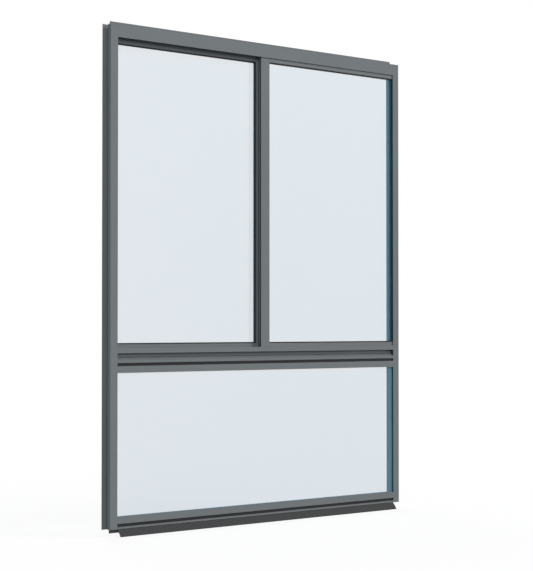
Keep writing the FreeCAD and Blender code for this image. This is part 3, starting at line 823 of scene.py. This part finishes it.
# %% Latch plate
PLATE_DEEP = 0.003
PLATE_END_FLAT = 0.0001
PLATE_END_STEPS = 10
PLATE_RIM = 0.0014
RIM_SLOPE = 0.0003
FACE_SUNK = 0.0005
PLATE_RADIUS = 0.0003
PLATE_SHARP = 35
latch_low, latch_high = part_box("sash_latch")
latch_middle = (latch_low + latch_high) / 2
plate_face = latch_low.y + PLATE_DEEP
plate = block("latch_plate", latch_low, (latch_high.x, plate_face, latch_high.z))
bevel_edges(plate, lambda a, b: abs(a.y - b.y) > PLATE_DEEP / 2,
            (latch_high.x - latch_low.x) / 2 - PLATE_END_FLAT, PLATE_END_STEPS)
pick(plate, "FACE", lambda face: face.normal.y > FACING)
bpy.ops.mesh.inset(thickness=PLATE_RIM)
bpy.ops.mesh.inset(thickness=RIM_SLOPE)
bpy.ops.transform.translate(value=(0.0, -FACE_SUNK, 0.0))
done()
round_edges(plate, PLATE_RADIUS, sharper_than=PLATE_SHARP)
finish_piece(plate, "latch", latch_coat, "sash_latch")
print("plate faces", len(plate.data.polygons))

# %% Latch lever
LEVER_HALF_WIDTH = 0.005
LEVER_HALF_LENGTH = 0.026
LEVER_BEND = 0.018
LEVER_SUNK = 0.0006
LEVER_TOP_ABOVE = 0.001
LEVER_RADIUS = 0.0005
LEVER_SHARP = 40
# level above the middle: share of the full width, and how far the row drops towards the plate
LEVER_ROWS = {
    LEVER_HALF_LENGTH: (0.70, 0.0042),
    LEVER_BEND: (0.86, 0.0018),
    -LEVER_BEND: (0.86, 0.0018),
    -LEVER_HALF_LENGTH: (0.70, 0.0042),
}
GRIP_LEVELS = (-0.006, 0.0, 0.006)
GRIP_HALF = 0.0012
GRIP_WITHIN = 0.0005
GRIP_INSET = 0.0005
GRIP_DEPTH = 0.0007
GRIP_FACING = 0.8
lever_foot = plate_face - LEVER_SUNK
lever = block("latch_lever",
              (latch_middle.x - LEVER_HALF_WIDTH, lever_foot, latch_middle.z - LEVER_HALF_LENGTH),
              (latch_middle.x + LEVER_HALF_WIDTH, latch_high.y, latch_middle.z + LEVER_HALF_LENGTH))
grip_edges = [level + side * GRIP_HALF for level in GRIP_LEVELS for side in (-1, 1)]
for offset in [LEVER_BEND, -LEVER_BEND] + grip_edges:
    cut_across(lever, (0.0, 0.0, latch_middle.z + offset), (0.0, 0.0, 1.0))
for offset, (width, drop) in LEVER_ROWS.items():
    level = latch_middle.z + offset
    pick(lever, "VERT", lambda spot: abs(spot.z - level) < ROW_WITHIN)
    bpy.ops.transform.resize(value=(width, 1.0, 1.0), center_override=(latch_middle.x, lever_foot, level))
    done()
    move_points(lever, lambda spot: (abs(spot.z - level) < ROW_WITHIN
                                     and spot.y > lever_foot + LEVER_TOP_ABOVE), (0.0, -drop, 0.0))
for offset in GRIP_LEVELS:
    level = latch_middle.z + offset
    pick(lever, "FACE", lambda face: (face.normal.y > GRIP_FACING
                                      and abs(face.center.z - level) < GRIP_WITHIN))
    bpy.ops.mesh.inset(thickness=GRIP_INSET)
    bpy.ops.transform.translate(value=(0.0, -GRIP_DEPTH, 0.0))
    done()
round_edges(lever, LEVER_RADIUS, segments=3, sharper_than=LEVER_SHARP)
finish_piece(lever, "latch", latch_coat)
print("lever faces", len(lever.data.polygons))

# %% [markdown]
# ## Screws
# The frame is held by screws through the jambs' webs into the cross-members. They sit behind the fixing
# fin, where the wall covers them, so the outdoor face stays clean. One pan head is a cylinder with a
# bevelled rim and a cross cut out by a Boolean modifier; copies, each with its own mesh, go to every
# joint and to the latch.

# %% One pan-head screw
HEAD_SIDES = 24
HEAD_RADIUS = 0.0042
HEAD_HEIGHT = 0.0024
HEAD_DOME = 0.0014
DOME_STEPS = 4
CROSS_LENGTH = 0.0046
CROSS_WIDTH = 0.0011
CROSS_DEPTH = 0.0012

bpy.ops.object.select_all(action="DESELECT")
bpy.ops.mesh.primitive_cylinder_add(vertices=HEAD_SIDES, radius=HEAD_RADIUS, depth=HEAD_HEIGHT,
                                    location=(0.0, 0.0, HEAD_HEIGHT / 2))
screw_head = bpy.context.object
bpy.ops.object.transform_apply(location=True, rotation=True, scale=True)
bevel_edges(screw_head, lambda a, b: min(a.z, b.z) > HEAD_HEIGHT - TOUCH, HEAD_DOME, DOME_STEPS)
for wide, tall in ((CROSS_WIDTH, CROSS_LENGTH), (CROSS_LENGTH, CROSS_WIDTH)):
    cutter = block("cross_cutter", (-wide / 2, -tall / 2, HEAD_HEIGHT - CROSS_DEPTH),
                   (wide / 2, tall / 2, HEAD_HEIGHT + CROSS_DEPTH))
    cross = screw_head.modifiers.new("cross", "BOOLEAN")
    cross.object = cutter
    cross.operation = "DIFFERENCE"
    apply_modifiers(screw_head)
    bpy.data.objects.remove(cutter)
smooth_by_angle(screw_head)
print("screw faces", len(screw_head.data.polygons))

# %% Screws at the joints and on the latch
WEB_OUTER_FACE = 0.738
SCREW_LEVELS = {"head": 1.771, "transom": 0.6085, "low_head": 0.5695, "low_sill": 0.0285}
SCREW_DEPTHS = {"front": 0.0065, "rear": 0.0165}
LATCH_SCREW_REACH = 0.041
LATCH_SCREW_SUNK = 0.0006


def set_screw(name, place, turn):
    """A copy of the head, turned to look away from the metal that it sits on."""
    finish_piece(placed_copy(screw_head, name, place, turn), "bracket", zinc_steel)


for side, sign in (("left", -1), ("right", 1)):
    for joint, level in SCREW_LEVELS.items():
        for row, y in SCREW_DEPTHS.items():
            set_screw(f"screw_{side}_{joint}_{row}", (sign * (WEB_OUTER_FACE - SUNK), y, level),
                      (0.0, sign * math.pi / 2, 0.0))
for end, sign in (("top", 1), ("foot", -1)):
    set_screw(f"latch_screw_{end}", (latch_middle.x, plate_face - LATCH_SCREW_SUNK,
                                     latch_middle.z + sign * LATCH_SCREW_REACH), (-math.pi / 2, 0.0, 0.0))
bpy.data.objects.remove(screw_head)

# %% [markdown]
# ## Sizes and view transform
# The dressed window's box is printed here, as the CAD box was at the start. The dressed window may not
# grow past its drawing. Standard view transform shows each colour as it was mixed.

# %% Sizes and finish
scene.view_settings.view_transform = "Standard"
low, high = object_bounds()
print("visual box", [round(v, 4) for v in low], [round(v, 4) for v in high])
